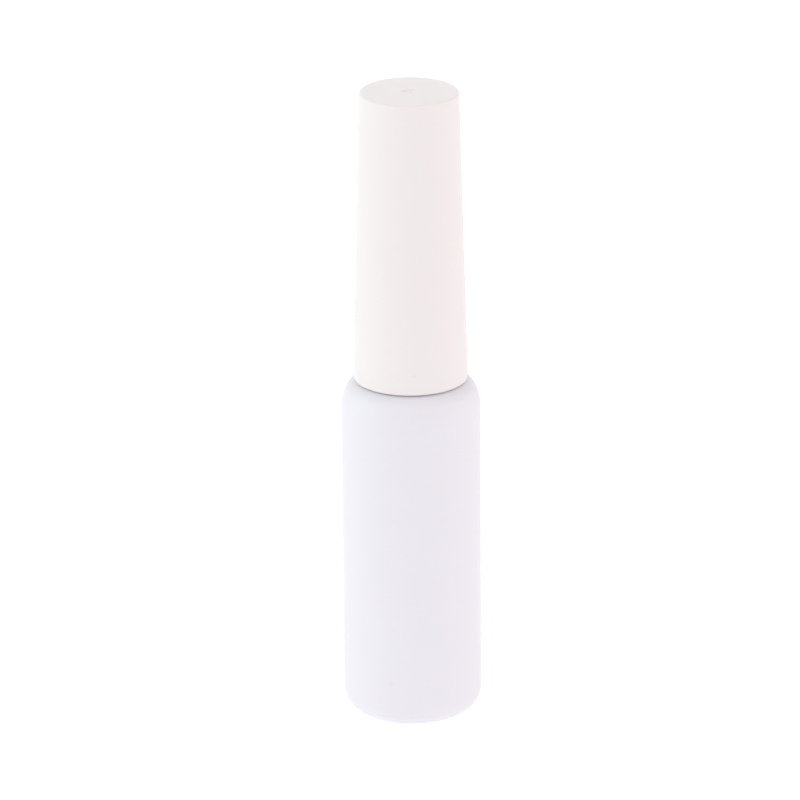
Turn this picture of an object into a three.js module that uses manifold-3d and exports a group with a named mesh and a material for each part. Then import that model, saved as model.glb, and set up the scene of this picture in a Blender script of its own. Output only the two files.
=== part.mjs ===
// Brush-in-cap glue bottle: a blow-moulded bottle with a threaded neck, and a tall cap that holds the brush.
// Units are millimetres, +Z is up, and the origin is the centre of the foot ring's face.
import * as THREE from "three";
import { mergeVertices } from "three/addons/utils/BufferGeometryUtils.js";
import Module from "manifold-3d";

const wasm = await Module();
wasm.setup();

// ---- driving dimensions -----------------------------------------------------------------------------------

const SIDES = 40; // facets round each large turned surface
const SMALL_SIDES = 24; // facets round the stem, the tuft and the wiper
const ARC_STEPS = 3; // half the number of chords in each rounded corner
const FIT_GAP = 0.05; // clearance between two pieces that are pressed together
const EMBED = 0.15; // how far a rib or a thread is sunk into the wall that carries it
const MERGE_DISTANCE = 1e-4; // points nearer than this are one point

const BODY_RADIUS = 10;
const BODY_WALL = 0.95;
const BASE_ROUND = 2.9; // radius of the corner between wall and base
const FOOT_INNER_RADIUS = 5.8; // the flat foot ring runs from here to the base corner
const PUSH_UP = 0.8; // height of the hollow under the base
const PUSH_UP_FLAT = 0.7; // share of the hollow's radius at which its curve bends down most
const FLOOR_THICKNESS = 1.1;
const SHOULDER_START_Z = 46.8;
const SHOULDER_INSET = 2.7; // how far the rounded shoulder runs inwards
const SHOULDER_RISE = 4.2; // how far it runs upwards

const NECK_RADIUS = 5.75;
const NECK_BORE_RADIUS = 4.1;
const NECK_TOP_Z = 62;
const NECK_RIM_ROUND = 0.3;
const BEAD_RADIUS = 6.2; // the bead under the thread
const BEAD_Z = 52.9;
const BEAD_HALF_HEIGHT = 0.5;

const THREAD_PITCH = 2.12; // 12 threads to the inch
const THREAD_START_Z = 54.6;
const NECK_THREAD = { root: NECK_RADIUS, crest: 6.4, base: 1.3, tip: 0.6, from: 0, turns: 1.5 };
const CAP_THREAD = { root: 6.5, crest: 5.9, base: 0.9, tip: 0.4, from: 0.55, turns: 1.35 };
const THREAD_STEPS_PER_TURN = 36;
const THREAD_FADE_TURNS = 0.08; // each end of a thread rises to full height over this
const THREAD_END_HEIGHT = 0.1; // share of the full height at the very end

const CAP_MOUTH_Z = 51.15;
const CAP_TOP_Z = 94;
const CAP_MOUTH_RADIUS = 8.2;
const CAP_TOP_RADIUS = 7.1;
const CAP_EDGE_ROUND = 0.35;
const CAP_ROOF = 1.3;
const CAP_BORE_RADIUS = 7.25; // the straight bore that holds the inner cap
const CAP_LEDGE_Z = 65.9; // the inner cap stops under this ledge
const CAP_HOLLOW_RADIUS = 6.45; // the tapered hollow above the ledge, at its foot
const CAP_HOLLOW_TOP_RADIUS = 5.8;

const INNER_CAP_FOOT_Z = 52;
const INNER_CAP_TOP_Z = 65.6;
const INNER_CAP_RADIUS = 7.08;
const INNER_CAP_ROOF = 1.15;
const INNER_CAP_RIBS = 12;
const RIB_WIDTH = 0.7;
const RIB_END_GAP = 0.5; // each rib stops this far from the inner cap's ends
const SEAT_GAP = 0.15; // clearance round the stem's flange, so the flange can turn in the inner cap
const SNAP_BEAD_RADIUS = 5.45; // the ring inside the inner cap that holds the stem's flange up
const SNAP_BEAD = { lead: 0.25, land: 0.25, back: 0.6 }; // heights of its upper flank, tip and lower flank

const WIPER_FLANGE_RADIUS = 5.2;
const WIPER_FLANGE = 0.6;
const WIPER_WALL = 0.6;
const WIPER_FOOT_Z = 51.2;
const WIPER_CONE_Z = 54.6; // the tube narrows to the lip below this height
const WIPER_HOLE_RADIUS = 2.15;

const SEAL_THICKNESS = 0.8;
const SEAL_RADIUS = 5.3;
const SEAL_HOLE_RADIUS = 2.3;
const SEAL_CHAMFER = 0.15;

const STEM_FLANGE_RADIUS = 5.6;
const STEM_FLANGE = 0.8;
const STEM_RADIUS = 2;
const STEM_TIP_RADIUS = 1.7;
const STEM_TIP_Z = 22.5;
const STEM_TIP_ROUND = 0.3;
const TUFT_HOLE_RADIUS = 1.25;
const TUFT_HOLE_DEPTH = 3.6;

const TUFT_TIP_Z = 7;
const TUFT_BELLY_Z = 14.5;
const TUFT_BELLY_RADIUS = 1.65;
const TUFT_TIP_RADIUS = 0.55;
const TUFT_TIP_ROUND = 0.4; // height of the blunt end
const TUFT_NECK = 0.3; // straight length of the tuft under the stem
const TUFT_FLARE = 3; // the belly's curve aims at this far under the stem
const STAPLE = { width: 2.3, thickness: 0.35, height: 1.3 };
const STAPLE_Z = 24.6; // centre of the staple

// ---- heights that follow from the stack on the neck -------------------------------------------------------

const WIPER_TOP_Z = NECK_TOP_Z + FIT_GAP + WIPER_FLANGE;
const SEAL_BOTTOM_Z = WIPER_TOP_Z + FIT_GAP;
const SEAL_TOP_Z = SEAL_BOTTOM_Z + SEAL_THICKNESS;
const FLANGE_BOTTOM_Z = SEAL_TOP_Z + FIT_GAP;
const FLANGE_TOP_Z = FLANGE_BOTTOM_Z + STEM_FLANGE;

// ---- materials --------------------------------------------------------------------------------------------

const plastic = (color, roughness) => new THREE.MeshStandardMaterial({ color, roughness, metalness: 0 });
const bottleWhite = plastic(0xe6e3ec, 0.48);
const capWhite = plastic(0xf1e8e8, 0.45);
const naturalWhite = plastic(0xf2f0ea, 0.4);
const softNatural = plastic(0xe9ebe8, 0.3);
const bristleNylon = plastic(0xf4f1e6, 0.35);
const stapleMetal = new THREE.MeshStandardMaterial({ color: 0xb9b8b0, roughness: 0.35, metalness: 1 });

// ---- helpers ----------------------------------------------------------------------------------------------

// The closed solid turned round +Z from a path of radius and height.
function turned(path, sides = SIDES) {
  return new THREE.LatheGeometry(path.getPoints(ARC_STEPS), sides).rotateX(Math.PI / 2);
}

// A quarter ellipse that starts at the path's last point. fromQuarter is its start angle in quarter turns.
function quarter(path, centre, radii, fromQuarter, clockwise = false) {
  const from = (fromQuarter * Math.PI) / 2;
  const to = from + (clockwise ? -Math.PI / 2 : Math.PI / 2);
  return path.absellipse(centre[0], centre[1], radii[0], radii[1], from, to, clockwise);
}

function solidOf(geometry) {
  const bare = geometry.index ? geometry.toNonIndexed() : geometry.clone();
  bare.deleteAttribute("normal");
  bare.deleteAttribute("uv");
  const merged = mergeVertices(bare, MERGE_DISTANCE);
  const vertProperties = merged.attributes.position.array;
  const triVerts = new Uint32Array(merged.index.array);
  return new wasm.Manifold(new wasm.Mesh({ numProp: 3, vertProperties, triVerts }));
}

function geometryOf(solid) {
  const mesh = solid.getMesh();
  const geometry = new THREE.BufferGeometry();
  geometry.setAttribute("position", new THREE.BufferAttribute(mesh.vertProperties, 3));
  geometry.setIndex(new THREE.BufferAttribute(mesh.triVerts, 1));
  geometry.computeVertexNormals();
  return geometry;
}

function named(name, geometry, material) {
  const mesh = new THREE.Mesh(geometry, material);
  mesh.name = name;
  return mesh;
}

// A right-hand thread with flat-topped flanks: a straight bar, bent into a helix round +Z. Its crest may lie
// outside the root, as on the neck, or inside it, as in the cap. startZ is the bar's middle at zero turns.
function thread({ root, crest, base, tip, from, turns }, startZ) {
  const height = Math.abs(crest - root);
  const outwards = Math.sign(crest - root);
  const section = new THREE.Shape();
  section.moveTo(-EMBED, -base / 2);
  section.lineTo(0, -base / 2);
  section.lineTo(height, -tip / 2);
  section.lineTo(height, tip / 2);
  section.lineTo(0, base / 2);
  section.lineTo(-EMBED, base / 2);
  const steps = Math.ceil(turns * THREAD_STEPS_PER_TURN);
  const bar = new THREE.ExtrudeGeometry(section, { depth: turns, steps, bevelEnabled: false });
  const points = bar.attributes.position;
  for (let i = 0; i < points.count; i++) {
    const along = points.getZ(i);
    const nearerEnd = Math.min(along, turns - along);
    const fade = THREE.MathUtils.clamp(nearerEnd / THREAD_FADE_TURNS, THREAD_END_HEIGHT, 1);
    const lift = points.getX(i) > 0 ? points.getX(i) * fade : points.getX(i);
    const radius = root + outwards * lift;
    const angle = 2 * Math.PI * (from + along);
    const z = startZ + THREAD_PITCH * (from + along) + points.getY(i);
    points.setXYZ(i, radius * Math.cos(angle), radius * Math.sin(angle), z);
  }
  if (outwards > 0) flipFaces(points);
  return bar;
}

// Swaps two corners of each face, so that every face points the other way.
function flipFaces(points) {
  const first = new THREE.Vector3();
  const second = new THREE.Vector3();
  for (let i = 0; i < points.count; i += 3) {
    first.fromBufferAttribute(points, i);
    second.fromBufferAttribute(points, i + 1);
    points.setXYZ(i, ...second);
    points.setXYZ(i + 1, ...first);
  }
}

// ---- the bottle and what is pressed into it ---------------------------------------------------------------

function bottle() {
  const innerRadius = BODY_RADIUS - BODY_WALL;
  const innerRound = BASE_ROUND - BODY_WALL;
  const shoulderRadius = BODY_RADIUS - SHOULDER_INSET;
  const shoulderZ = SHOULDER_START_Z + SHOULDER_RISE;
  const innerShoulder = [innerRadius - NECK_BORE_RADIUS, SHOULDER_RISE - BODY_WALL / 2];
  const path = new THREE.Path();
  path.moveTo(0, PUSH_UP);
  path.quadraticCurveTo(FOOT_INNER_RADIUS * PUSH_UP_FLAT, PUSH_UP, FOOT_INNER_RADIUS, 0);
  path.lineTo(BODY_RADIUS - BASE_ROUND, 0);
  quarter(path, [BODY_RADIUS - BASE_ROUND, BASE_ROUND], [BASE_ROUND, BASE_ROUND], -1);
  path.lineTo(BODY_RADIUS, SHOULDER_START_Z);
  quarter(path, [shoulderRadius, SHOULDER_START_Z], [SHOULDER_INSET, SHOULDER_RISE], 0);
  path.lineTo(NECK_RADIUS, shoulderZ);
  path.lineTo(NECK_RADIUS, BEAD_Z - BEAD_HALF_HEIGHT);
  path.absellipse(NECK_RADIUS, BEAD_Z, BEAD_RADIUS - NECK_RADIUS, BEAD_HALF_HEIGHT, -Math.PI / 2, Math.PI / 2);
  path.lineTo(NECK_RADIUS, NECK_TOP_Z - NECK_RIM_ROUND);
  const rimCentre = [NECK_RADIUS - NECK_RIM_ROUND, NECK_TOP_Z - NECK_RIM_ROUND];
  quarter(path, rimCentre, [NECK_RIM_ROUND, NECK_RIM_ROUND], 0);
  path.lineTo(NECK_BORE_RADIUS, NECK_TOP_Z);
  path.lineTo(NECK_BORE_RADIUS, SHOULDER_START_Z + innerShoulder[1]);
  quarter(path, [NECK_BORE_RADIUS, SHOULDER_START_Z], innerShoulder, 1, true);
  path.lineTo(innerRadius, FLOOR_THICKNESS + innerRound);
  quarter(path, [innerRadius - innerRound, FLOOR_THICKNESS + innerRound], [innerRound, innerRound], 0, true);
  path.lineTo(FOOT_INNER_RADIUS, FLOOR_THICKNESS);
  const innerFloorZ = FLOOR_THICKNESS + PUSH_UP;
  path.quadraticCurveTo(FOOT_INNER_RADIUS * PUSH_UP_FLAT, innerFloorZ, 0, innerFloorZ);
  const blank = solidOf(turned(path));
  return named("bottle", geometryOf(blank.add(solidOf(thread(NECK_THREAD, THREAD_START_Z)))), bottleWhite);
}

function neckWiper() {
  const tubeRadius = NECK_BORE_RADIUS - FIT_GAP;
  const flangeZ = NECK_TOP_Z + FIT_GAP;
  const path = new THREE.Path();
  path.moveTo(WIPER_HOLE_RADIUS, WIPER_FOOT_Z);
  path.lineTo(WIPER_HOLE_RADIUS + WIPER_WALL, WIPER_FOOT_Z);
  path.lineTo(tubeRadius, WIPER_CONE_Z);
  path.lineTo(tubeRadius, flangeZ);
  path.lineTo(WIPER_FLANGE_RADIUS, flangeZ);
  path.lineTo(WIPER_FLANGE_RADIUS, WIPER_TOP_Z);
  path.lineTo(tubeRadius - WIPER_WALL, WIPER_TOP_Z);
  path.lineTo(tubeRadius - WIPER_WALL, WIPER_CONE_Z);
  path.closePath();
  return named("neck_wiper", turned(path, 2 * SMALL_SIDES), softNatural);
}

// ---- the brush --------------------------------------------------------------------------------------------

function sealRing() {
  const path = new THREE.Path();
  path.moveTo(SEAL_HOLE_RADIUS, SEAL_BOTTOM_Z);
  path.lineTo(SEAL_RADIUS - SEAL_CHAMFER, SEAL_BOTTOM_Z);
  path.lineTo(SEAL_RADIUS, SEAL_BOTTOM_Z + SEAL_CHAMFER);
  path.lineTo(SEAL_RADIUS, SEAL_TOP_Z - SEAL_CHAMFER);
  path.lineTo(SEAL_RADIUS - SEAL_CHAMFER, SEAL_TOP_Z);
  path.lineTo(SEAL_HOLE_RADIUS, SEAL_TOP_Z);
  path.closePath();
  return named("seal_ring", turned(path), softNatural);
}

function brushStem() {
  const path = new THREE.Path();
  path.moveTo(0, STEM_TIP_Z + TUFT_HOLE_DEPTH);
  path.lineTo(TUFT_HOLE_RADIUS, STEM_TIP_Z + TUFT_HOLE_DEPTH);
  path.lineTo(TUFT_HOLE_RADIUS, STEM_TIP_Z);
  path.lineTo(STEM_TIP_RADIUS - STEM_TIP_ROUND, STEM_TIP_Z);
  const tipCentre = [STEM_TIP_RADIUS - STEM_TIP_ROUND, STEM_TIP_Z + STEM_TIP_ROUND];
  quarter(path, tipCentre, [STEM_TIP_ROUND, STEM_TIP_ROUND], -1);
  path.lineTo(STEM_RADIUS, WIPER_FOOT_Z);
  path.lineTo(STEM_RADIUS, FLANGE_BOTTOM_Z);
  path.lineTo(STEM_FLANGE_RADIUS, FLANGE_BOTTOM_Z);
  path.lineTo(STEM_FLANGE_RADIUS, FLANGE_TOP_Z);
  path.lineTo(0, FLANGE_TOP_Z);
  return named("brush_stem", turned(path, 2 * SMALL_SIDES), naturalWhite);
}

function bristleTuft() {
  const rootRadius = TUFT_HOLE_RADIUS - FIT_GAP;
  const rootTopZ = STEM_TIP_Z + TUFT_HOLE_DEPTH - FIT_GAP;
  const path = new THREE.Path();
  path.moveTo(0, TUFT_TIP_Z);
  path.lineTo(TUFT_TIP_RADIUS, TUFT_TIP_Z + TUFT_TIP_ROUND);
  path.quadraticCurveTo(TUFT_BELLY_RADIUS, (TUFT_TIP_Z + TUFT_BELLY_Z) / 2, TUFT_BELLY_RADIUS, TUFT_BELLY_Z);
  path.quadraticCurveTo(TUFT_BELLY_RADIUS, STEM_TIP_Z - TUFT_FLARE, rootRadius, STEM_TIP_Z - TUFT_NECK);
  path.lineTo(rootRadius, rootTopZ);
  path.lineTo(0, rootTopZ);
  const slotThickness = STAPLE.thickness + 2 * FIT_GAP;
  const slotHeight = STAPLE.height + 2 * FIT_GAP;
  const slot = new THREE.BoxGeometry(3 * TUFT_HOLE_RADIUS, slotThickness, slotHeight); // wider than the tuft
  slot.translate(0, 0, STAPLE_Z);
  const tuft = solidOf(turned(path, SMALL_SIDES)).subtract(solidOf(slot));
  return named("bristle_tuft", geometryOf(tuft), bristleNylon);
}

function bristleStaple() {
  const wire = new THREE.BoxGeometry(STAPLE.width, STAPLE.thickness, STAPLE.height).translate(0, 0, STAPLE_Z);
  return named("bristle_staple", wire, stapleMetal);
}

// ---- the cap ----------------------------------------------------------------------------------------------

function innerCap() {
  const insideTopZ = INNER_CAP_TOP_Z - INNER_CAP_ROOF;
  const seatRadius = STEM_FLANGE_RADIUS + SEAT_GAP;
  const snapZ = FLANGE_BOTTOM_Z - FIT_GAP;
  const path = new THREE.Path();
  path.moveTo(0, insideTopZ);
  path.lineTo(seatRadius, insideTopZ);
  path.lineTo(seatRadius, snapZ);
  path.lineTo(SNAP_BEAD_RADIUS, snapZ - SNAP_BEAD.lead);
  path.lineTo(SNAP_BEAD_RADIUS, snapZ - SNAP_BEAD.lead - SNAP_BEAD.land);
  path.lineTo(CAP_THREAD.root, snapZ - SNAP_BEAD.lead - SNAP_BEAD.land - SNAP_BEAD.back);
  path.lineTo(CAP_THREAD.root, INNER_CAP_FOOT_Z);
  path.lineTo(INNER_CAP_RADIUS, INNER_CAP_FOOT_Z);
  path.lineTo(INNER_CAP_RADIUS, INNER_CAP_TOP_Z);
  path.lineTo(0, INNER_CAP_TOP_Z);
  let cap = solidOf(turned(path)).add(solidOf(thread(CAP_THREAD, THREAD_START_Z - THREAD_PITCH / 2)));
  const ribHeight = INNER_CAP_TOP_Z - INNER_CAP_FOOT_Z - 2 * RIB_END_GAP;
  const ribDepth = CAP_BORE_RADIUS - FIT_GAP - INNER_CAP_RADIUS + EMBED;
  for (let i = 0; i < INNER_CAP_RIBS; i++) {
    const rib = new THREE.BoxGeometry(ribDepth, RIB_WIDTH, ribHeight);
    rib.translate(INNER_CAP_RADIUS - EMBED + ribDepth / 2, 0, (INNER_CAP_FOOT_Z + INNER_CAP_TOP_Z) / 2);
    cap = cap.add(solidOf(rib.rotateZ((2 * Math.PI * i) / INNER_CAP_RIBS)));
  }
  return named("inner_cap", geometryOf(cap), naturalWhite);
}

function outerCap() {
  const roofZ = CAP_TOP_Z - CAP_ROOF;
  const path = new THREE.Path();
  path.moveTo(0, roofZ);
  path.lineTo(CAP_HOLLOW_TOP_RADIUS, roofZ);
  path.lineTo(CAP_HOLLOW_RADIUS, CAP_LEDGE_Z);
  path.lineTo(CAP_BORE_RADIUS, CAP_LEDGE_Z);
  path.lineTo(CAP_BORE_RADIUS, CAP_MOUTH_Z);
  path.lineTo(CAP_MOUTH_RADIUS, CAP_MOUTH_Z);
  path.lineTo(CAP_TOP_RADIUS, CAP_TOP_Z - CAP_EDGE_ROUND);
  const edgeCentre = [CAP_TOP_RADIUS - CAP_EDGE_ROUND, CAP_TOP_Z - CAP_EDGE_ROUND];
  quarter(path, edgeCentre, [CAP_EDGE_ROUND, CAP_EDGE_ROUND], 0);
  path.lineTo(0, CAP_TOP_Z);
  return named("outer_cap", turned(path), capWhite);
}

// ---- assembly ---------------------------------------------------------------------------------------------

const bottleGroup = new THREE.Group();
bottleGroup.add(bottle(), neckWiper());

const brushGroup = new THREE.Group();
brushGroup.add(sealRing(), brushStem(), bristleTuft(), bristleStaple());

const capGroup = new THREE.Group();
capGroup.add(innerCap(), outerCap());

const glueBottle = new THREE.Group();
glueBottle.add(bottleGroup, brushGroup, capGroup);

export default glueBottle;
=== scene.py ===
"""A brush-in-cap glue bottle in white plastic, standing in a bright light tent.

Every visible piece is a fine mesh that stands for one CAD node and rides on that node's body.
Lengths are in millimetres, and MM turns them into metres. Only the camera's place and the floor's
size are in metres.
"""

import math
import random

import bpy
from mathutils import Matrix, Vector


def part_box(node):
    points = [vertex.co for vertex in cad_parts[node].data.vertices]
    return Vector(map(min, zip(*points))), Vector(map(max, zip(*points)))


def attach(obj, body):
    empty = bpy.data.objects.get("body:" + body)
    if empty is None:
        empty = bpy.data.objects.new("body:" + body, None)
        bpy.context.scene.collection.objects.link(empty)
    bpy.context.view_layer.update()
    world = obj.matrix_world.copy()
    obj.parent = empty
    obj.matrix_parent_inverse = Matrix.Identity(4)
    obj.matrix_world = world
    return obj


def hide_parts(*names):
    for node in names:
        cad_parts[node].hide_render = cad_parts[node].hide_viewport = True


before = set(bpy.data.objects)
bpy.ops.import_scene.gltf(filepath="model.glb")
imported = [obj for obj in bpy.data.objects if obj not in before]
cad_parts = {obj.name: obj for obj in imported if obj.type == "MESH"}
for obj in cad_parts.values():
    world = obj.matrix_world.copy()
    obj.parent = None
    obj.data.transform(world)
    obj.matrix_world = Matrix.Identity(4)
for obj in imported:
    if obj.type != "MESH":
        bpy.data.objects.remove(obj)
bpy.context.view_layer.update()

MM = 0.001
TURN = 2 * math.pi


# ---- sizes from the frame ------------------------------------------------------------------------


def low(node):
    """The lowest height of a CAD node, in millimetres."""
    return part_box(node)[0].z / MM


def high(node):
    """The greatest height of a CAD node, in millimetres."""
    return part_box(node)[1].z / MM


def radius(node):
    """The greatest radius of a round CAD node on the bottle's axis, in millimetres."""
    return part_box(node)[1].x / MM


BODY_RADIUS = radius("bottle")
NECK_TOP_Z = high("bottle")
CAP_MOUTH_Z = low("outer_cap")
CAP_TOP_Z = high("outer_cap")
CAP_MOUTH_RADIUS = radius("outer_cap")
INNER_CAP_FOOT_Z = low("inner_cap")
INNER_CAP_TOP_Z = high("inner_cap")
WIPER_FOOT_Z = low("neck_wiper")
WIPER_TOP_Z = high("neck_wiper")
WIPER_FLANGE_RADIUS = radius("neck_wiper")
SEAL_BOTTOM_Z = low("seal_ring")
SEAL_TOP_Z = high("seal_ring")
SEAL_RADIUS = radius("seal_ring")
STEM_TIP_Z = low("brush_stem")
FLANGE_TOP_Z = high("brush_stem")
FLANGE_RADIUS = radius("brush_stem")
TUFT_TIP_Z = low("bristle_tuft")
TUFT_ROOT_Z = high("bristle_tuft")
STAPLE_LOW, STAPLE_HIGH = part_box("bristle_staple")

# The rest of the shape, which the boxes can't tell: the bottle,
BODY_WALL = 0.95
BASE_ROUND = 2.9
FOOT_INNER_RADIUS = 5.8
PUSH_UP = 0.8
PUSH_UP_STEEPNESS = 1.5
FLOOR_THICKNESS = 1.1
SHOULDER_START_Z = 46.8
SHOULDER_INSET = 2.7
SHOULDER_RISE = 4.2
NECK_RADIUS = 5.75
NECK_BORE_RADIUS = 4.1
THREAD_PITCH = 2.12
THREAD_START_Z = 54.6
# the stem,
STEM_TIP_RADIUS = 1.7
TUFT_HOLE_RADIUS = 1.25
FLANGE_THICKNESS = 0.8
# and the cap.
CAP_TOP_RADIUS = 7.1
CAP_BORE_RADIUS = 7.25
CAP_LEDGE_Z = 65.9
CAP_HOLLOW_RADIUS = 6.45
CAP_HOLLOW_TOP_RADIUS = 5.8
CAP_ROOF = 1.3
INNER_CAP_RADIUS = 7.08

SIDES = 256  # points round a large turned surface
SMALL_SIDES = 128  # points round a small one
THREAD_ROW = 0.09  # height between the rows of points on a threaded surface
THREAD_FADE_TURNS = 0.1  # how much of a turn each end of a thread fades over
ON_AXIS = 1e-6  # a point closer to the axis than this is on it
SAME_RADIUS = 1e-3
SAME_POINT = 1e-4


# ---- mesh helpers --------------------------------------------------------------------------------


def arc(centre, radii, start, end, steps=8):
    """Points of an elliptical arc in (radius, height), from one angle to another in degrees."""
    points = []
    for i in range(steps + 1):
        angle = math.radians(start + (end - start) * i / steps)
        r = centre[0] + radii[0] * math.cos(angle)
        z = centre[1] + radii[1] * math.sin(angle)
        points.append((r, z))
    return points


def rows(start, end, step):
    """Evenly spaced points between two (radius, height) points, about step apart, ends included."""
    count = max(1, round(math.dist(start, end) / step))
    return [tuple(a + (b - a) * i / count for a, b in zip(start, end)) for i in range(count + 1)]


def clean(points):
    """The outline without points that repeat the one before."""
    kept = [points[0]]
    for point in points[1:]:
        if math.dist(point, kept[-1]) > SAME_POINT:
            kept.append(point)
    return kept


def smooth(t):
    """An eased step from 0 to 1."""
    t = min(1.0, max(0.0, t))
    return t * t * (3 - 2 * t)


def make_piece(name, vertices, faces, material, sharp_degrees=32):
    """A shaded mesh object in metres from points in millimetres."""
    mesh = bpy.data.meshes.new(name)
    mesh.from_pydata([Vector(v) * MM for v in vertices], [], faces)
    mesh.validate()
    mesh.polygons.foreach_set("use_smooth", [True] * len(mesh.polygons))
    mesh.set_sharp_from_angle(angle=math.radians(sharp_degrees))
    mesh.materials.append(material)
    piece = bpy.data.objects.new(name, mesh)
    bpy.context.scene.collection.objects.link(piece)
    return piece


def turned(outline, sides=SIDES, relief=None, closed=False):
    """Vertices and faces of an outline of (radius, height) turned round +Z.

    Points on the axis become one vertex. relief(angle, radius, height) gives the radius to use
    instead. A closed outline joins its last point to its first, as a ring's section does.
    """
    vertices = []
    rings = []
    for r, z in outline:
        if r < ON_AXIS:
            rings.append([len(vertices)])
            vertices.append((0, 0, z))
            continue
        first = len(vertices)
        for k in range(sides):
            angle = TURN * k / sides
            reach = relief(angle, r, z) if relief else r
            vertices.append((reach * math.cos(angle), reach * math.sin(angle), z))
        rings.append(list(range(first, first + sides)))
    faces = []
    pairs = list(zip(rings, rings[1:]))
    if closed:
        pairs.append((rings[-1], rings[0]))
    for a, b in pairs:
        for k in range(sides):
            n = (k + 1) % sides
            if len(a) == 1 and len(b) > 1:
                faces.append((a[0], b[n], b[k]))
            elif len(b) == 1 and len(a) > 1:
                faces.append((a[k], a[n], b[0]))
            else:
                faces.append((a[k], a[n], b[n], b[k]))
    return vertices, faces


def thread_relief(first_turn, turns, height, base, tip, start_z):
    """Height of a right-hand thread over its root at an angle and a height, with fading ends."""

    def over_root(angle, z):
        tallest = 0.0
        for lap in range(int(first_turn), int(first_turn + turns) + 2):
            along = angle / TURN + lap - first_turn
            if along < 0 or along > turns:
                continue
            off = abs(z - (start_z + THREAD_PITCH * (first_turn + along)))
            flank = smooth((base / 2 - off) / ((base - tip) / 2))
            fade = smooth(min(along, turns - along) / THREAD_FADE_TURNS)
            tallest = max(tallest, height * flank * fade)
        return tallest

    return over_root


# ---- nodes ---------------------------------------------------------------------------------------

MIX_AMOUNT, MIX_FIRST, MIX_SECOND, MIX_RESULT = 0, 6, 7, 2  # the colour sockets of a Mix node


def add_node(tree, kind, inputs, **properties):
    """A new node. An input given as a socket is linked, and any other is set."""
    node = tree.nodes.new(kind)
    for name, value in properties.items():
        setattr(node, name, value)
    for name, value in inputs.items():
        if isinstance(value, bpy.types.NodeSocket):
            tree.links.new(value, node.inputs[name])
        else:
            node.inputs[name].default_value = value
    return node


def noise(tree, place, **settings):
    """A noise over the piece, from 0 to 1."""
    return add_node(tree, "ShaderNodeTexNoise", {"Vector": place, **settings}).outputs["Fac"]


def ranged(tree, value, limits):
    """A value moved from one range into another, and kept inside it."""
    return add_node(tree, "ShaderNodeMapRange", {"Value": value, **limits}).outputs["Result"]


def mixed(tree, amount, first, second):
    """The colour between two colours."""
    sockets = {MIX_AMOUNT: amount, MIX_FIRST: first, MIX_SECOND: second}
    return add_node(tree, "ShaderNodeMix", sockets, data_type="RGBA").outputs[MIX_RESULT]


# ---- materials -----------------------------------------------------------------------------------

SCATTER_REACH = (1.0, 0.8, 0.7)  # how far red, green and blue light travel in a plastic, by share
PLASTIC_IOR = 1.5
DRIFT = {"Scale": 120, "Detail": 3}
GRAIN = {"Detail": 4, "Roughness": 0.6}
SCUFFS = {"Scale": 350, "Detail": 5, "Distortion": 1.5}
SCUFF_WEAR = {"From Min": 0.58, "From Max": 0.7, "To Max": 0.09}
GLOSS_SPREAD = 0.07
# The grey of the small dark flecks, and of the painted shade on the bottle's shoulder.
FLECK_AND_SHADE_GREY = (0.3, 0.28, 0.27, 1)
FLECK_COVER = 0.1


def plastic(
    name, colour, tint, roughness, scatter, scatter_radius, grain, grain_size, mark=None, shade_band=None
):
    """Moulded plastic: a drift between two near tints, uneven gloss, light scuffs and a fine grain.

    scatter_radius, grain, which is the grain's depth, and grain_size are in millimetres. mark is
    the place and the reach of one small dark fleck. The last argument is a band of painted shade:
    the height where it begins, the height where it is darkest, and how much grey it mixes in there.
    """
    material = bpy.data.materials.new(name)
    material.use_nodes = True
    tree = material.node_tree
    shader = tree.nodes["Principled BSDF"]
    shader.inputs["Subsurface Weight"].default_value = scatter
    shader.inputs["Subsurface Radius"].default_value = SCATTER_REACH
    shader.inputs["Subsurface Scale"].default_value = scatter_radius * MM
    shader.inputs["IOR"].default_value = PLASTIC_IOR
    shader.inputs["Specular IOR Level"].default_value = 0.5

    place = tree.nodes.new("ShaderNodeTexCoord").outputs["Object"]
    base_colour = mixed(tree, noise(tree, place, **DRIFT), (*colour, 1), (*tint, 1))
    if mark:
        base_colour = fleck(tree, place, base_colour, *mark)
    # A band of painted shade: grey mixed into the colour between two heights.
    if shade_band:
        base_colour = paint_shade(tree, place, base_colour, *shade_band)
    tree.links.new(base_colour, shader.inputs["Base Color"])

    fine = noise(tree, place, Scale=1 / (grain_size * MM), **GRAIN)
    gloss_range = {"To Min": roughness - GLOSS_SPREAD, "To Max": roughness + GLOSS_SPREAD}
    gloss = ranged(tree, fine, gloss_range)
    wear = ranged(tree, noise(tree, place, **SCUFFS), SCUFF_WEAR)
    dulled = add_node(tree, "ShaderNodeMath", {0: gloss, 1: wear}, operation="ADD")
    tree.links.new(dulled.outputs["Value"], shader.inputs["Roughness"])

    bump = add_node(
        tree, "ShaderNodeBump", {"Strength": 1.0, "Distance": grain * MM, "Height": fine}
    )
    tree.links.new(bump.outputs["Normal"], shader.inputs["Normal"])
    return material


def fleck(tree, place, colour, centre, reach):
    """The colour with a soft dark fleck round a point on the piece."""
    points = {0: place, 1: Vector(centre) * MM}
    away = add_node(tree, "ShaderNodeVectorMath", points, operation="DISTANCE").outputs["Value"]
    spot = ranged(tree, away, {"From Max": reach * MM, "To Min": FLECK_COVER, "To Max": 0})
    return mixed(tree, spot, colour, FLECK_AND_SHADE_GREY)


def paint_shade(tree, place, colour, start, end, cover):
    """The colour with painted shade: grey that deepens from one height to another."""
    height = add_node(tree, "ShaderNodeSeparateXYZ", {"Vector": place}).outputs["Z"]
    shade_amount = ranged(tree, height, {"From Min": start * MM, "From Max": end * MM, "To Max": cover})
    return mixed(tree, shade_amount, colour, FLECK_AND_SHADE_GREY)


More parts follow.
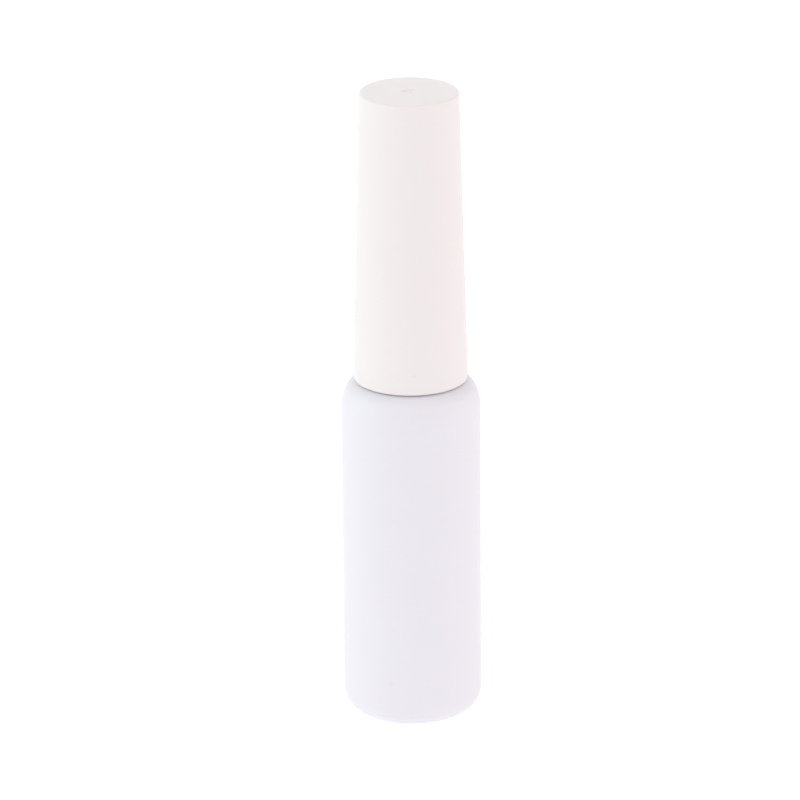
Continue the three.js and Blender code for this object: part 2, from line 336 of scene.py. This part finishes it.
def metal(name, colour, roughness):
    """Drawn wire: fine lengthwise streaks in its gloss."""
    streak_scale = (400, 6000, 6000)  # along the wire, and across it twice
    smoother, rougher = 0.1, 0.15
    material = bpy.data.materials.new(name)
    material.use_nodes = True
    tree = material.node_tree
    shader = tree.nodes["Principled BSDF"]
    shader.inputs["Base Color"].default_value = (*colour, 1)
    shader.inputs["Metallic"].default_value = 1.0
    place = tree.nodes.new("ShaderNodeTexCoord").outputs["Object"]
    stretch = add_node(tree, "ShaderNodeMapping", {"Vector": place, "Scale": streak_scale})
    streaks = noise(tree, stretch.outputs["Vector"], Scale=1.0)
    gloss = ranged(tree, streaks, {"To Min": roughness - smoother, "To Max": roughness + rougher})
    tree.links.new(gloss, shader.inputs["Roughness"])
    return material


BODY_FLECK = ((-3.15, -9.49, 7.1), 0.45)
CAP_FLECK = ((0.45, -8.14, 54.05), 0.32)
# Painted shade that stands in for the soft shade under the cap's mouth. It goes on up the neck.
SHOULDER_PAINTED_SHADE = (49.4, 50.8, 0.12)
BOTTLE_WHITE = plastic(
    "bottle_white",
    colour=(0.851, 0.805, 0.874),
    tint=(0.873, 0.83, 0.889),
    roughness=0.36,
    scatter=0.2,
    scatter_radius=0.6,
    grain=0.006,
    grain_size=0.22,
    mark=BODY_FLECK,
    shade_band=SHOULDER_PAINTED_SHADE,
)
CAP_WHITE = plastic(
    "cap_white",
    colour=(0.908, 0.83, 0.838),
    tint=(0.924, 0.85, 0.857),
    roughness=0.36,
    scatter=0.2,
    scatter_radius=0.5,
    grain=0.005,
    grain_size=0.2,
    mark=CAP_FLECK,
)
NATURAL = plastic(
    "natural_plastic",
    colour=(0.84, 0.83, 0.79),
    tint=(0.86, 0.85, 0.82),
    roughness=0.38,
    scatter=0.4,
    scatter_radius=2.0,
    grain=0.003,
    grain_size=0.3,
)
SOFT_NATURAL = plastic(
    "soft_natural",
    colour=(0.78, 0.80, 0.79),
    tint=(0.82, 0.83, 0.82),
    roughness=0.3,
    scatter=0.6,
    scatter_radius=3.0,
    grain=0.002,
    grain_size=0.3,
)
NYLON = plastic(
    "bristle_nylon",
    colour=(0.86, 0.82, 0.70),
    tint=(0.88, 0.85, 0.76),
    roughness=0.32,
    scatter=0.3,
    scatter_radius=0.5,
    grain=0.001,
    grain_size=0.1,
)
STAPLE_METAL = metal("staple_metal", colour=(0.6, 0.59, 0.57), roughness=0.3)


# ---- camera, floor and light ---------------------------------------------------------------------

# The camera stands about forty bottle widths away and looks down on the bottle by 20.6 degrees.
CAMERA_DISTANCE = 0.8
CAMERA_ELEVATION = math.radians(20.57)
CAMERA_ROLL = math.radians(-0.41)
CAMERA_AIM_Z = 0.0475
CAMERA_SIDEWAYS = 0.00158
CAMERA_LENS = 249.9
CAMERA_SENSOR = 36

FLOOR_HALF_WIDTH = 3.0
FLOOR_GREY = (0.4, 0.4, 0.4, 1)
FLOOR_ROUGHNESS = 0.9
FLOOR_GLOW = 0.717

TENT_BASE = 0.23
# Soft lamps behind the tent's walls: the way to each, how narrow its glow is, and its colour.
TENT_LAMPS = (
    ((0, 0, 1), 1, (0.16, 0.16, 0.16)),
    ((0, -0.5, 0.866), 6, (1.34, 1.39, 1.36)),
    ((0, 1, 0), 4, (1.03, 1.03, 1.03)),
    ((-1, 0, 0), 3, (1.36, 1.576, 1.555)),
    ((1, 0, 0), 3, (1.147, 1.112, 1.089)),
)


def make_camera():
    """A long lens, aimed at the bottle's middle from the front and above, with a slight roll."""
    back = Vector((0, -math.cos(CAMERA_ELEVATION), math.sin(CAMERA_ELEVATION)))
    right = Vector((1, 0, 0))
    up = back.cross(right)
    place = Vector((0, 0, CAMERA_AIM_Z)) + back * CAMERA_DISTANCE - right * CAMERA_SIDEWAYS
    rolled_right = right * math.cos(CAMERA_ROLL) + up * math.sin(CAMERA_ROLL)
    rolled_up = up * math.cos(CAMERA_ROLL) - right * math.sin(CAMERA_ROLL)
    data = bpy.data.cameras.new("camera")
    data.lens = CAMERA_LENS
    data.sensor_width = CAMERA_SENSOR
    camera = bpy.data.objects.new("camera", data)
    turn = Matrix((rolled_right, rolled_up, back)).transposed().to_4x4()
    camera.matrix_world = Matrix.Translation(place) @ turn
    bpy.context.scene.collection.objects.link(camera)
    bpy.context.scene.camera = camera


def make_floor():
    """A wide white table that glows a little, as the translucent floor of a light tent does."""
    half = FLOOR_HALF_WIDTH
    corners = [(-half, -half, 0), (half, -half, 0), (half, half, 0), (-half, half, 0)]
    mesh = bpy.data.meshes.new("floor")
    mesh.from_pydata(corners, [], [(0, 1, 2, 3)])
    material = bpy.data.materials.new("floor_white")
    material.use_nodes = True
    shader = material.node_tree.nodes["Principled BSDF"]
    shader.inputs["Base Color"].default_value = FLOOR_GREY
    shader.inputs["Roughness"].default_value = FLOOR_ROUGHNESS
    shader.inputs["Specular IOR Level"].default_value = 0
    shader.inputs["Emission Color"].default_value = (1, 1, 1, 1)
    shader.inputs["Emission Strength"].default_value = FLOOR_GLOW
    mesh.materials.append(material)
    floor = bpy.data.objects.new("floor", mesh)
    bpy.context.scene.collection.objects.link(floor)


def make_tent():
    """The tent by direction: an even white, and the glow of each lamp."""
    world = bpy.data.worlds.new("tent")
    world.use_nodes = True
    bpy.context.scene.world = world
    tree = world.node_tree
    way = tree.nodes.new("ShaderNodeTexCoord").outputs["Generated"]

    def calculated(operation, first, second):
        values = {0: first, 1: second}
        return add_node(tree, "ShaderNodeMath", values, operation=operation).outputs["Value"]

    total = (TENT_BASE, TENT_BASE, TENT_BASE)
    for direction, narrowness, colour in TENT_LAMPS:
        ways = {0: way, 1: direction}
        facing = add_node(tree, "ShaderNodeVectorMath", ways, operation="DOT_PRODUCT")
        front = calculated("MAXIMUM", facing.outputs["Value"], 0)
        terms = {0: calculated("POWER", front, narrowness), 1: colour, 2: total}
        added = add_node(tree, "ShaderNodeVectorMath", terms, operation="MULTIPLY_ADD")
        total = added.outputs["Vector"]
    tree.links.new(total, tree.nodes["Background"].inputs["Color"])


make_camera()
make_floor()
make_tent()
bpy.context.scene.view_settings.view_transform = "Standard"


# ---- the bottle ----------------------------------------------------------------------------------


def push_up(t):
    """How far the base is pushed up at a share of the foot's inner radius."""
    return PUSH_UP * (1 - smooth(t) ** PUSH_UP_STEEPNESS)


def make_bottle():
    """Blow-moulded body, rounded shoulder, threaded neck, a real wall and a pushed-up base."""
    inner_radius = BODY_RADIUS - BODY_WALL
    inner_round = BASE_ROUND - BODY_WALL
    inner_rise = SHOULDER_RISE - BODY_WALL / 2
    shoulder_z = SHOULDER_START_Z + SHOULDER_RISE
    foot_round = 0.6
    foot_break = (FOOT_INNER_RADIUS + foot_round * 0.3, 0.02)
    root_round = 0.5
    rim_round = 0.3
    bore_edge = 0.12
    bead_z = 52.9
    bead_reach, bead_half = 0.45, 0.5
    thread = thread_relief(
        first_turn=0, turns=1.5, height=0.65, base=1.3, tip=0.6, start_z=THREAD_START_Z
    )

    outline = [(0, PUSH_UP)]
    outline += [(FOOT_INNER_RADIUS * t, push_up(t)) for t in (0.15, 0.3, 0.45, 0.6, 0.75, 0.88)]
    outline += [foot_break, (FOOT_INNER_RADIUS + foot_round, 0)]
    outline += arc((BODY_RADIUS - BASE_ROUND, BASE_ROUND), (BASE_ROUND, BASE_ROUND), -90, 0, 24)
    outline += rows((BODY_RADIUS, BASE_ROUND), (BODY_RADIUS, SHOULDER_START_Z), 2)
    shoulder_centre = (BODY_RADIUS - SHOULDER_INSET, SHOULDER_START_Z)
    outline += arc(shoulder_centre, (SHOULDER_INSET, SHOULDER_RISE), 0, 90, 28)
    root_centre = (NECK_RADIUS + root_round, shoulder_z + root_round)
    outline += arc(root_centre, (root_round, root_round), -90, -180, 6)
    neck_foot = (NECK_RADIUS, shoulder_z + root_round)
    outline += rows(neck_foot, (NECK_RADIUS, bead_z - bead_half), 0.3)
    outline += arc((NECK_RADIUS, bead_z), (bead_reach, bead_half), -90, 90, 12)
    neck_end = (NECK_RADIUS, NECK_TOP_Z - rim_round)
    outline += rows((NECK_RADIUS, bead_z + bead_half), neck_end, THREAD_ROW)
    rim_centre = (NECK_RADIUS - rim_round, NECK_TOP_Z - rim_round)
    outline += arc(rim_centre, (rim_round, rim_round), 0, 90, 6)
    outline += [(NECK_BORE_RADIUS + bore_edge, NECK_TOP_Z)]
    outline += [(NECK_BORE_RADIUS, NECK_TOP_Z - bore_edge)]
    outline += [(NECK_BORE_RADIUS, SHOULDER_START_Z + inner_rise)]
    inner_shoulder = (inner_radius - NECK_BORE_RADIUS, inner_rise)
    outline += arc((NECK_BORE_RADIUS, SHOULDER_START_Z), inner_shoulder, 90, 0, 20)
    inner_corner = (inner_radius - inner_round, FLOOR_THICKNESS + inner_round)
    outline += arc(inner_corner, (inner_round, inner_round), 0, -90, 12)
    for t in (1, 0.85, 0.7, 0.55, 0.4, 0.2):
        outline.append((FOOT_INNER_RADIUS * t, FLOOR_THICKNESS + push_up(t)))
    outline.append((0, FLOOR_THICKNESS + PUSH_UP))

    def neck_relief(angle, r, z):
        above_bead = bead_z + bead_half < z < NECK_TOP_Z - rim_round
        on_neck = abs(r - NECK_RADIUS) < SAME_RADIUS and above_bead
        return r + thread(angle, z) if on_neck else r

    vertices, faces = turned(clean(outline), relief=neck_relief)
    piece = make_piece("bottle_body", vertices, faces, BOTTLE_WHITE)
    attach(piece, "bottle")
    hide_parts("bottle")


def make_wiper():
    """Soft plug in the neck: a thin tube that narrows to the lip that wipes the brush."""
    tube = NECK_BORE_RADIUS - 0.05
    wall = 0.6
    hole = 2.15
    lip_round = 0.05
    edge = 0.1
    cone_z = 54.6
    flange_z = WIPER_TOP_Z - 0.6
    rings, first_ring, ring_pitch = 3, 1.6, 2.2
    ring_reach, ring_half, ring_foot = 0.08, 0.3, 0.4
    rim_round, mouth_round = 0.15, 0.25

    outline = [(hole + lip_round, WIPER_FOOT_Z), (hole + wall - edge, WIPER_FOOT_Z)]
    outline += [(hole + wall, WIPER_FOOT_Z + edge)]
    outline += rows((hole + wall, WIPER_FOOT_Z + edge), (tube, cone_z), 0.5)
    for ring in range(rings):
        ring_z = cone_z + first_ring + ring_pitch * ring
        outline += [(tube - ring_reach, ring_z - ring_foot)]
        outline += arc((tube - ring_reach, ring_z), (ring_reach, ring_half), -90, 90, 6)
    outline += [(tube - 0.05, flange_z - edge), (tube, flange_z)]
    outline += [(WIPER_FLANGE_RADIUS - edge, flange_z), (WIPER_FLANGE_RADIUS, flange_z + edge)]
    rim_centre = (WIPER_FLANGE_RADIUS - rim_round, WIPER_TOP_Z - rim_round)
    outline += arc(rim_centre, (rim_round, rim_round), 0, 90, 4)
    mouth_centre = (tube - wall + mouth_round, WIPER_TOP_Z - mouth_round)
    outline += arc(mouth_centre, (mouth_round, mouth_round), 90, 180, 5)
    outline += rows((tube - wall, WIPER_TOP_Z - mouth_round), (tube - wall, cone_z), 1)
    outline += rows((tube - wall, cone_z), (hole, WIPER_FOOT_Z + lip_round), 0.5)
    vertices, faces = turned(clean(outline), sides=SMALL_SIDES, closed=True)
    piece = make_piece("neck_wiper_plug", vertices, faces, SOFT_NATURAL)
    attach(piece, "bottle")
    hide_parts("neck_wiper")


# ---- the brush -----------------------------------------------------------------------------------


def make_seal():
    """Soft washer with rounded edges, under the stem's flange."""
    hole = 2.3
    soft = 0.2
    outline = []
    for r, z, start in (
        (hole + soft, SEAL_BOTTOM_Z + soft, 180),
        (SEAL_RADIUS - soft, SEAL_BOTTOM_Z + soft, 270),
        (SEAL_RADIUS - soft, SEAL_TOP_Z - soft, 0),
        (hole + soft, SEAL_TOP_Z - soft, 90),
    ):
        outline += arc((r, z), (soft, soft), start, start + 90, 5)
    vertices, faces = turned(clean(outline), sides=SMALL_SIDES, closed=True)
    piece = make_piece("seal_washer", vertices, faces, SOFT_NATURAL)
    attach(piece, "seal")
    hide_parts("seal_ring")


def make_stem():
    """Tapered round stem under a flange, with the blind hole that holds the bristles."""
    sides = 96
    stem_radius = 2.0
    tip_round = 0.3
    flange_z = FLANGE_TOP_Z - FLANGE_THICKNESS
    flange_root = 0.25
    flange_round = 0.15
    hole_z = TUFT_ROOT_Z + 0.05
    hole_lead, hole_ease = 0.12, 0.08

    outline = [(0, hole_z), (TUFT_HOLE_RADIUS, hole_z)]
    outline += rows((TUFT_HOLE_RADIUS, hole_z), (TUFT_HOLE_RADIUS, STEM_TIP_Z + hole_lead), 1)
    outline += [(TUFT_HOLE_RADIUS + hole_ease, STEM_TIP_Z)]
    tip_centre = (STEM_TIP_RADIUS - tip_round, STEM_TIP_Z + tip_round)
    outline += arc(tip_centre, (tip_round, tip_round), -90, 0, 8)
    tip_top = (STEM_TIP_RADIUS, STEM_TIP_Z + tip_round)
    outline += rows(tip_top, (stem_radius, WIPER_FOOT_Z), 1.5)
    outline += rows((stem_radius, WIPER_FOOT_Z), (stem_radius, flange_z - flange_root), 2)
    root_centre = (stem_radius + flange_root, flange_z - flange_root)
    outline += arc(root_centre, (flange_root, flange_root), 180, 90, 5)
    edge_radius = FLANGE_RADIUS - flange_round
    edge_round = (flange_round, flange_round)
    outline += arc((edge_radius, flange_z + flange_round), edge_round, -90, 0, 4)
    outline += arc((edge_radius, FLANGE_TOP_Z - flange_round), edge_round, 0, 90, 4)
    outline += [(0, FLANGE_TOP_Z)]
    vertices, faces = turned(clean(outline), sides=sides)
    piece = make_piece("brush_stem_moulding", vertices, faces, NATURAL)
    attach(piece, "brush")
    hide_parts("brush_stem")


def bristle_path(root, reach, spread, lean):
    """Centre points of one bristle, from its fold in the stem down to its tip."""
    fold_z = TUFT_ROOT_Z - 0.3
    steps = 8
    belly, belly_place = 0.42, 1.15
    gather, gather_start = 0.5, 0.45
    length = STEM_TIP_Z - reach
    points = [Vector((root.x, root.y, z)) for z in (fold_z, STEM_TIP_Z)]
    for step in range(1, steps + 1):
        t = step / steps
        swell = 1 + belly * math.sin(math.pi * min(1.0, t * belly_place))
        swell -= gather * smooth((t - gather_start) / (1 - gather_start)) * spread
        x = root.x * swell + lean.x * t * t
        y = root.y * swell + lean.y * t * t
        points.append(Vector((x, y, STEM_TIP_Z - length * t)))
    return points


def make_bristles():
    """About two hundred nylon filaments, each a thin tapered tube with a soft tip."""
    chance = random.Random(7)
    count = 210
    sides = 6
    thickness = 0.075
    thinning, thinning_start = 0.55, 0.75
    bundle = TUFT_HOLE_RADIUS - 0.14
    shortest_rise, rim_rise, uneven = 0.05, 1.1, 0.5
    least_spread = 0.85
    most_lean = 0.12
    golden = math.pi * (3 - math.sqrt(5))
    vertices = []
    faces = []
    for i in range(count):
        out = bundle * math.sqrt((i + 0.5) / count)
        root = Vector((out * math.cos(golden * i), out * math.sin(golden * i)))
        reach = TUFT_TIP_Z + shortest_rise + rim_rise * (out / bundle) ** 2
        reach += chance.uniform(0, uneven)
        lean_x = chance.uniform(-most_lean, most_lean)
        lean_y = chance.uniform(-most_lean, most_lean)
        spread = chance.uniform(least_spread, 1.0)
        path = bristle_path(root, reach, spread, Vector((lean_x, lean_y)))
        first = len(vertices)
        for n, point in enumerate(path):
            t = n / (len(path) - 1)
            r = thickness * (1 - thinning * smooth((t - thinning_start) / (1 - thinning_start)))
            for k in range(sides):
                angle = TURN * k / sides
                x = point.x + r * math.cos(angle)
                y = point.y + r * math.sin(angle)
                vertices.append((x, y, point.z))
        for n in range(len(path) - 1):
            for k in range(sides):
                a = first + n * sides + k
                b = first + n * sides + (k + 1) % sides
                faces.append((a, a + sides, b + sides, b))
        top = [first + k for k in range(sides)]
        bottom = [first + (len(path) - 1) * sides + k for k in range(sides)]
        faces += [tuple(top), tuple(reversed(bottom))]
    piece = make_piece("bristles", vertices, faces, NYLON, 60)
    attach(piece, "brush")
    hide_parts("bristle_tuft")


def make_staple():
    """The flat anchor wire in the bristles' fold, with rounded corners."""
    half_width = STAPLE_HIGH.x / MM
    half_thickness = STAPLE_HIGH.y / MM
    bottom, top = STAPLE_LOW.z / MM, STAPLE_HIGH.z / MM
    middle = (bottom + top) / 2
    corner = 0.15
    edge = 0.04
    section = []
    for x, z, start in (
        (half_width - corner, bottom + corner, -90),
        (half_width - corner, top - corner, 0),
        (corner - half_width, top - corner, 90),
        (corner - half_width, bottom + corner, 180),
    ):
        section += arc((x, z), (corner, corner), start, start + 90, 5)
    count = len(section)
    # The section at each depth through the wire, drawn in by the edge at its two flat faces.
    layers = (
        (-half_thickness, edge),
        (edge - half_thickness, 0),
        (half_thickness - edge, 0),
        (half_thickness, edge),
    )
    vertices = []
    for y, inset in layers:
        shrink_x = 1 - inset / half_width
        shrink_z = 1 - 2 * inset / (top - bottom)
        for x, z in section:
            vertices.append((x * shrink_x, y, middle + (z - middle) * shrink_z))
    faces = [tuple(range(count)), tuple(reversed(range(3 * count, 4 * count)))]
    for layer in range(len(layers) - 1):
        for k in range(count):
            a = layer * count + k
            b = layer * count + (k + 1) % count
            faces.append((a, a + count, b + count, b))
    piece = make_piece("staple_wire", vertices, faces, STAPLE_METAL)
    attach(piece, "brush")
    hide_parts("bristle_staple")


# ---- the cap -------------------------------------------------------------------------------------


def make_inner_cap():
    """Threaded closure with grip ribs outside and a snap bead for the stem's flange inside."""
    inside_top = INNER_CAP_TOP_Z - 1.15
    thread_root = 6.5
    snap_z = FLANGE_TOP_Z - FLANGE_THICKNESS - 0.05
    seat = FLANGE_RADIUS + 0.15
    bead_radius, bead_drop, bead_round = 5.6, 0.38, 0.15
    root_drop = 1.1
    lead_rise, lead_ease = 0.3, 0.2
    foot_round = 0.1
    top_round = 0.2
    rib_count = 12
    rib_height = 0.1
    rib_half, rib_flank = 0.4, 0.2
    rib_end, rib_fade = 0.3, 0.5
    thread = thread_relief(
        first_turn=0.55,
        turns=1.35,
        height=0.6,
        base=0.9,
        tip=0.4,
        start_z=THREAD_START_Z - THREAD_PITCH / 2,
    )

    outline = [(0, inside_top), (seat, inside_top), (seat, snap_z)]
    outline += arc((bead_radius, snap_z - bead_drop), (bead_round, bead_round), 120, 240, 6)
    outline += [(thread_root, snap_z - root_drop)]
    thread_foot = (thread_root, INNER_CAP_FOOT_Z + lead_rise)
    outline += rows((thread_root, snap_z - root_drop), thread_foot, THREAD_ROW)
    outline += [(thread_root + lead_ease, INNER_CAP_FOOT_Z)]
    foot_centre = (INNER_CAP_RADIUS - foot_round, INNER_CAP_FOOT_Z + foot_round)
    outline += arc(foot_centre, (foot_round, foot_round), -90, 0, 3)
    rib_foot = (INNER_CAP_RADIUS, INNER_CAP_FOOT_Z + rib_end)
    outline += rows(rib_foot, (INNER_CAP_RADIUS, INNER_CAP_TOP_Z - rib_end), 0.5)
    top_centre = (INNER_CAP_RADIUS - top_round, INNER_CAP_TOP_Z - top_round)
    outline += arc(top_centre, (top_round, top_round), 0, 90, 4)
    outline += [(0, INNER_CAP_TOP_Z)]

    def relief(angle, r, z):
        if abs(r - thread_root) < SAME_RADIUS:
            return r - thread(angle, z)
        if abs(r - INNER_CAP_RADIUS) < SAME_RADIUS:
            from_rib = abs((angle / TURN * rib_count + 0.5) % 1 - 0.5)
            nearest = from_rib * TURN / rib_count * INNER_CAP_RADIUS
            ends = min(z - INNER_CAP_FOOT_Z - rib_end, INNER_CAP_TOP_Z - rib_end - z) / rib_fade
            return r + rib_height * smooth((rib_half - nearest) / rib_flank) * smooth(ends)
        return r

    vertices, faces = turned(clean(outline), relief=relief)
    piece = make_piece("inner_cap_closure", vertices, faces, NATURAL)
    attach(piece, "cap")
    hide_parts("inner_cap")


def make_outer_cap():
    """Tapered overcap with a crisp top edge, a small gate mark on top and an eased mouth."""
    slope = (CAP_MOUTH_RADIUS - CAP_TOP_RADIUS) / (CAP_TOP_Z - CAP_MOUTH_Z)
    roof_z = CAP_TOP_Z - CAP_ROOF
    hollow_round = 0.5
    lead_rise, lead_ease = 0.2, 0.1
    mouth_round = 0.2
    top_round = 0.35
    gate_radius = 1.2
    gate_depth = 0.12
    nub_radius = 0.45

    outline = [(0, roof_z), (CAP_HOLLOW_TOP_RADIUS - hollow_round, roof_z)]
    hollow_centre = (CAP_HOLLOW_TOP_RADIUS - hollow_round, roof_z - hollow_round)
    outline += arc(hollow_centre, (hollow_round, hollow_round), 90, 0, 5)
    hollow_top = (CAP_HOLLOW_TOP_RADIUS, roof_z - hollow_round)
    outline += rows(hollow_top, (CAP_HOLLOW_RADIUS, CAP_LEDGE_Z), 3)
    outline += [(CAP_BORE_RADIUS, CAP_LEDGE_Z), (CAP_BORE_RADIUS, CAP_MOUTH_Z + lead_rise)]
    outline += [(CAP_BORE_RADIUS + lead_ease, CAP_MOUTH_Z)]
    mouth_centre = (CAP_MOUTH_RADIUS - mouth_round, CAP_MOUTH_Z + mouth_round)
    outline += arc(mouth_centre, (mouth_round, mouth_round), -90, 0, 8)
    side_foot = (CAP_MOUTH_RADIUS - slope * mouth_round, CAP_MOUTH_Z + mouth_round + 0.1)
    side_top = CAP_TOP_Z - top_round
    outline += rows(side_foot, (CAP_TOP_RADIUS, side_top), 2)
    outline += arc((CAP_TOP_RADIUS - top_round, side_top), (top_round, top_round), 2, 90, 10)
    outline += rows((CAP_TOP_RADIUS - top_round, CAP_TOP_Z), (gate_radius, CAP_TOP_Z), 0.6)
    # The gate mark, from its rim to its middle: how far out, and what share of its depth down.
    for r, share in (
        (gate_radius - 0.06, 0.5),
        (gate_radius - 0.14, 1),
        (nub_radius + 0.05, 1),
        (nub_radius, 0.6),
        (nub_radius * 0.7, 0.25),
        (0, 0.15),
    ):
        outline.append((r, CAP_TOP_Z - gate_depth * share))
    vertices, faces = turned(clean(outline))
    piece = make_piece("outer_cap_shell", vertices, faces, CAP_WHITE, 25)
    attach(piece, "cap")
    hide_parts("outer_cap")


make_bottle()
make_wiper()
make_seal()
make_stem()
make_bristles()
make_staple()
make_inner_cap()
make_outer_cap()
